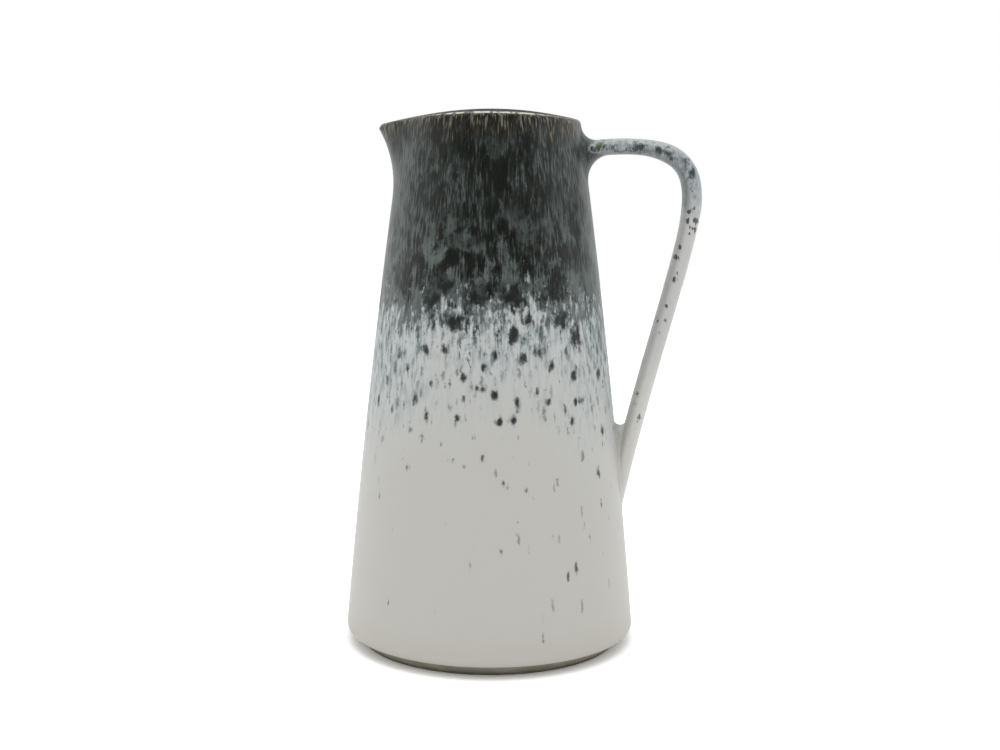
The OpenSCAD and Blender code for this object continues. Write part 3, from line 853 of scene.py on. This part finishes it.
# The strap, pulled by hand and luted to the wall at both ends
strap = {
    "topDrop": 18.4,        # its root, below the crest of the mouth
    "lift": 6.2,
    "out": 53.0,            # how far the bend stands out from the mouth
    "bendDrop": 41.0,
    "lowHeight": 77.0,
    "lean": 12.5,           # of the long run where it meets the wall, in degrees
    "topThickness": 7.4,
    "bendThickness": 8.9,
    "runThickness": 8.0,
    "thickens": (0.12, 0.26),  # between these parts of its length, all of it being 1
    "thins": (0.5, 0.62),
    "rootSink": 0.25,       # how deep the root is set in, in thicknesses
    "topWidth": 20.0,
    "lowWidth": 16.0,
    "roundness": 0.74,
    "rootPull": 0.82,       # how far each end of the two curves pulls them along
    "bendRise": 0.8,
    "bendFall": 0.147,
    "runPull": 0.469,
    "sides": 96,
}
bendX, bendZ = wall["rimRadius"] + strap["out"], wall["height"] - strap["bendDrop"]
topZ = wall["height"] - strap["topDrop"]
topEnd = Vector((wallRadius(topZ) - strap["topThickness"] * strap["rootSink"], 0, topZ))
lowEnd = Vector((wallRadius(strap["lowHeight"]), 0, strap["lowHeight"]))
bend = Vector((bendX, 0, bendZ))
fall = bendZ - strap["lowHeight"]
lean = math.radians(strap["lean"])
upperLine = [topEnd, topEnd + Vector((strap["rootPull"] * (bendX - topEnd.x), 0, strap["lift"])),
             bend + Vector((0, 0, strap["bendRise"] * (topZ - bendZ))), bend]
lowerLine = [bend, bend - Vector((0, 0, strap["bendFall"] * fall)),
             lowEnd + strap["runPull"] * fall * Vector((math.sin(lean), 0, math.cos(lean))), lowEnd]


def onCurve(line, t):
    s = 1 - t
    return s ** 3 * line[0] + 3 * s * s * t * line[1] + 3 * s * t * t * line[2] + t ** 3 * line[3]


def curveWay(line, t):
    s = 1 - t
    first, middle, last = (line[k + 1] - line[k] for k in range(3))
    return 3 * (s * s * first + 2 * s * t * middle + t * t * last)


def strapWay(u):
    return 2 * (curveWay(upperLine, hold(2 * u)) if u < 0.5 else curveWay(lowerLine, hold(2 * u - 1)))


def strapLine(u):
    if u < 0:
        return topEnd + strapWay(0) * u
    if u > 1:
        return lowEnd + strapWay(1) * (u - 1)
    return onCurve(upperLine, 2 * u) if u < 0.5 else onCurve(lowerLine, 2 * u - 1)


def between(u, start, end):
    return ease((u - start) / (end - start))


def strapThickness(u):
    if u < 0.5:
        return lerp(strap["topThickness"], strap["bendThickness"], between(u, *strap["thickens"]))
    return lerp(strap["bendThickness"], strap["runThickness"], between(u, *strap["thins"]))


def strapWidth(u):
    return lerp(strap["topWidth"], strap["lowWidth"], ease(u))


def bulge(c, power):
    return math.copysign(abs(c) ** power, c)


def strapUp(u):
    way = strapWay(u).normalized()
    return Vector((-way.z, 0, way.x))


def strapPoint(u, angle, deep=0.0):
    return (strapLine(u)
            + (strapWidth(u) / 2 - deep) * bulge(math.cos(angle), strap["roundness"]) * Vector((0, 1, 0))
            + (strapThickness(u) / 2 - deep) * bulge(math.sin(angle), strap["roundness"]) * strapUp(u))


def strapFaces(u, angle):
    power = 2 - strap["roundness"]
    return (bulge(math.cos(angle), power) / strapWidth(u) * Vector((0, 1, 0))
            + bulge(math.sin(angle), power) / strapThickness(u) * strapUp(u)).normalized()


def wallFaces(p):
    step = 2.6
    lean = (wallRadius(p.z - step) - wallRadius(p.z + step)) / (2 * step)
    return Vector((p.x, p.y, math.hypot(p.x, p.y) * lean)).normalized()


def crossing(angle, inside, clear):  # where an edge of the strap passes the glazed wall
    for i in range(24):
        u = (inside + clear) / 2
        p = strapPoint(u, angle)
        if math.hypot(p.x, p.y) < wallRadius(p.z):
            inside = u
        else:
            clear = u
    return inside


# Marks on the strap: place in the x-z plane, half size along and across, strength
strapMarks = [
    (91.3, 204.8, 1.2, 0.8, 1), (93.4, 206.4, 0.72, 0.8, 0.8), (94.6, 200.4, 1.2, 1.28, 1),
    (90.8, 200.6, 0.88, 1.2, 0.9), (92.4, 197.4, 1.12, 0.8, 0.9), (94.4, 196.2, 0.8, 1.12, 0.8),
    (91.8, 194.6, 0.72, 0.64, 0.7), (92.4, 214.4, 0.8, 0.8, 0.7), (91.2, 217.4, 0.56, 0.96, 0.6),
    (87.4, 188.4, 0.9, 0.9, 0.8), (86.2, 183.6, 1.2, 1, 0.8), (86.6, 176.6, 0.7, 0.8, 0.7),
    (85, 173.8, 1, 1.1, 1), (82.2, 161.4, 1.1, 0.9, 0.9), (81, 154.4, 0.9, 0.8, 0.7),
    (77.8, 153.6, 0.7, 1.6, 0.6), (78.6, 148.2, 0.8, 0.7, 0.8), (71.2, 134.4, 0.8, 1, 0.8),
    (68.8, 119.4, 0.8, 0.7, 0.8), (67.8, 114.6, 0.7, 0.7, 0.6), (69.8, 107.2, 0.8, 1.6, 0.9),
    (67.8, 102, 0.7, 0.8, 0.8),
]
greenSpot = (48.8, 235.6, 2.6, 1.4)


def markShares(points):
    marks, greens = [], []
    for p in points:
        share = 0.0
        for x, z, halfX, halfZ, strength in strapMarks:
            if abs(p[0] - x) < 3 * halfX and p[1] < 3:
                share = max(share, strength * bell((p[0] - x) / halfX, (p[2] - z) / halfZ))
        marks.append(share)
        x, z, halfX, halfZ = greenSpot
        greens.append(bell((p[0] - x) / halfX, (p[2] - z) / halfZ) if p[1] < 2 else 0.0)
    return {"markShare": marks, "greenShare": greens}


# The slip smoothed round each end of the strap, in ribs from the strap to the wall
upperJoint = {"inside": -0.02, "clear": 0.12, "over": 7.0, "under": 12.0, "side": 4.5}
lowerJoint = {"inside": 1.04, "clear": 0.75, "over": 8.0, "under": 2.8, "side": 2.4}
arcSteps = 18


def jointRib(angle, joint):
    sign = math.copysign(1, joint["clear"] - joint["inside"])
    u = crossing(angle, joint["inside"], joint["clear"])
    q = strapPoint(u, angle)
    way = sign * strapWay(u)
    face = strapFaces(u, angle)
    out = wallFaces(q)
    along = (face - face.dot(out) * out).normalized()
    part = face.dot(strapUp(u)) ** 2
    radius = lerp(joint["side"], joint["over"] if math.sin(angle) > 0 else joint["under"], part)
    fork = math.acos(hold(way.normalized().dot(along), -1, 1))  # angle between the strap and the wall
    reach = radius / math.tan(fork / 2) + glaze * max(0, -1 / math.tan(fork))
    end = u + sign * reach / way.length
    onStrap = strapPoint(end, angle)
    onWall = q + reach * along
    onWall.x = math.sqrt(wallRadius(onWall.z) ** 2 - onWall.y ** 2)
    k = 4 / 3 * math.tan((math.pi - fork) / 4) / math.tan((math.pi - fork) / 2)  # rounds the curve
    arc = [onStrap, onStrap.lerp(q, k), onWall.lerp(q, k), onWall]
    rib = [onCurve(arc, t) for t in steps(0, 1, arcSteps)]
    rib.append(onWall - glaze * wallFaces(onWall))
    rib.append(q - glaze * out - glaze * face)
    rib.append(strapPoint(end, angle, glaze))
    return end, rib, part


def makeHoop(loops, shares):
    # Closed loops of points side by side in a closed ring
    count = len(loops[0])
    vertices = [tuple(p) for loop in loops for p in loop]
    along = shareAlong([(loops[0][(k + 1) % count] - loops[0][k]).length for k in range(count)])
    faces, uvs = [], []
    for i in range(len(loops)):
        for k in range(count):
            corners = [(i, k), (i, k + 1), (i + 1, k + 1), (i + 1, k)]
            faces.append([a % len(loops) * count + b % count for a, b in corners])
            uvs += [(a / len(loops), along[b]) for a, b in corners]
    depths = [wall["height"] - v[2] for v in vertices]
    return vertices, faces, uvs, {**shares, **markShares(vertices), "rimDepth": depths}


def faceOutwards(shape):
    vertices, faces, uvs, shares = shape
    volume = sum(Vector(vertices[f[0]]).dot(Vector(vertices[f[n]]).cross(Vector(vertices[f[n + 1]])))
                 for f in faces for n in (1, 2))
    if volume < 0:  # turn over every face and its four corners on the map
        faces = [f[::-1] for f in faces]
        uvs = [uv for n in range(len(faces)) for uv in uvs[4 * n:4 * n + 4][::-1]]
    return vertices, faces, uvs, shares


angles = [2 * math.pi * i / strap["sides"] for i in range(strap["sides"])]
ribs = {}
for title, joint, material, slot, node in (
        ("upperSlipJoint", upperJoint, upperJointCoat, "upper_joint_glaze", "upper_slip_joint"),
        ("lowerSlipJoint", lowerJoint, lowerJointCoat, "lower_joint_glaze", "lower_slip_joint")):
    ribs[title] = [jointRib(angle, joint) for angle in angles]
    strapShare, creaseShare, underShadeShare = [], [], []
    for angle, (end, rib, part) in zip(angles, ribs[title]):
        for k in range(len(rib)):
            t = hold(1 - k / arcSteps)
            strapShare.append(t)
            creaseShare.append((1 - part) * math.exp(-((t - 0.5) / 0.06) ** 2))
            underShadeShare.append(ease(-math.sin(angle)))
    shares = {"strapShare": strapShare, "creaseShare": creaseShare, "underShadeShare": underShadeShare}
    shape = makeHoop([rib for end, rib, part in ribs[title]], shares)
    finishPiece(makePiece(title, faceOutwards(shape), material), node)

coatSteps, backSteps = 240, 24
loops, bandShare, underShadeShare = [], [], []
for angle, upper, lower in zip(angles, ribs["upperSlipJoint"], ribs["lowerSlipJoint"]):
    stops = [(lerp(upper[0], lower[0], s), 0.0) for s in steps(0, 1, coatSteps)]
    stops += [(lerp(upper[0], lower[0], s), glaze) for s in steps(1, 0, backSteps)]
    loops.append([strapPoint(u, angle, deep) for u, deep in stops])
    height = math.sin(angle)  # 1 on the outer face, -1 on the inner one
    for u, deep in stops:
        root = 0.9 * math.exp(-(u / 0.035) ** 2)
        bandShare.append(max(root, ease((0.44 - u) / 0.14) * math.exp(-((height + 0.05) / 0.55) ** 2)))
        underShadeShare.append(ease(-height))
shape = faceOutwards(makeHoop(loops, {"bandShare": bandShare, "underShadeShare": underShadeShare}))
finishPiece(makePiece("handleGlazeCoat", shape, strapCoat), "handle_glaze")

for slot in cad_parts["handle"].material_slots:
    slot.material = strapClay
print("the strap is on")

# A pale floor, soft studio light, and the camera where the picture was taken from
studio = {
    "floorSize": 3.0,       # metres
    "floor": (0.84, 0.84, 0.84, 1.0),      # as it lights the jug
    "seenFloor": (1.25, 1.25, 1.25, 1.0),  # as it is seen or mirrored, so that it reads white
    "floorLift": 0.04,      # light added there
    "room": 0.96,           # strength of the light from all round
    "dimGloss": 0.92,       # how much darker the camera's side looks in a reflection
    "lampPower": 5.4,
    "lampSize": 1.0,
    "lampPlace": (0.0, 0.0, 1.4),
    "cameraPlace": (4.36, -820.1, 261.5),
    "cameraTilt": 8.13,     # degrees down
    "cameraRoll": 0.307,
    "lens": 63.32,
    "shift": -0.0371,       # the picture's frame sits a little low
}


def seenRays(tree):
    rays = addNode(tree, "ShaderNodeLightPath").outputs
    return total(rays["Is Camera Ray"], rays["Is Transmission Ray"]), rays["Is Glossy Ray"]


def makeFloor():
    size = studio["floorSize"] / 2
    mesh = bpy.data.meshes.new("floor")
    mesh.from_pydata([(x, y, 0) for x, y in ((-size, -size), (size, -size), (size, size), (-size, size))],
                     [], [(0, 1, 2, 3)])
    material = bpy.data.materials.new("paleFloor")
    tree = freshTree(material)
    shown = total(*seenRays(tree))
    colour = layOver(studio["floor"], (shown, studio["seenFloor"]))
    matt = addNode(tree, "ShaderNodeBsdfDiffuse", {"Color": colour})
    lift = addNode(tree, "ShaderNodeEmission", {"Strength": times(shown, studio["floorLift"])})
    both = addNode(tree, "ShaderNodeAddShader")
    feed(matt.outputs[0], both.inputs[0])
    feed(lift.outputs[0], both.inputs[1])
    addNode(tree, "ShaderNodeOutputMaterial", {"Surface": both.outputs[0]})
    mesh.materials.append(material)
    return putInScene("floor", mesh)


def makeRoom():
    world = bpy.data.worlds.new("studio")
    bpy.context.scene.world = world
    tree = freshTree(world)
    way = split(addNode(tree, "ShaderNodeTexCoord").outputs["Generated"])
    seen, glossy = seenRays(tree)
    darker = softStep(way["Y"], -0.1, -0.8)
    gloss = times(glossy, sloped(darker, -studio["dimGloss"], 1.0))
    unseen = calc("SUBTRACT", 1.0, total(seen, glossy), clamp=True)
    strength = total(seen, gloss, times(unseen, studio["room"]))
    light = addNode(tree, "ShaderNodeBackground", {"Color": (1, 1, 1, 1), "Strength": strength})
    addNode(tree, "ShaderNodeOutputWorld", {"Surface": light.outputs[0]})


def makeLamp():
    lamp = bpy.data.lights.new("softbox", "AREA")
    lamp.energy = studio["lampPower"]
    lamp.size = studio["lampSize"]
    putInScene("softbox", lamp).location = studio["lampPlace"]


def makeCamera():
    lens = bpy.data.cameras.new("camera")
    lens.lens = studio["lens"]
    lens.sensor_width = 36.0
    lens.shift_y = studio["shift"]
    camera = putInScene("camera", lens)
    place = Vector(studio["cameraPlace"]) * mm
    tilt = math.radians(90 - studio["cameraTilt"])
    camera.matrix_world = (Matrix.Translation(place) @ Matrix.Rotation(tilt, 4, "X")
                           @ Matrix.Rotation(math.radians(studio["cameraRoll"]), 4, "Z"))
    bpy.context.scene.camera = camera


makeFloor()
makeRoom()
makeLamp()
makeCamera()
bpy.context.scene.view_settings.view_transform = "Standard"
print("the studio is lit")
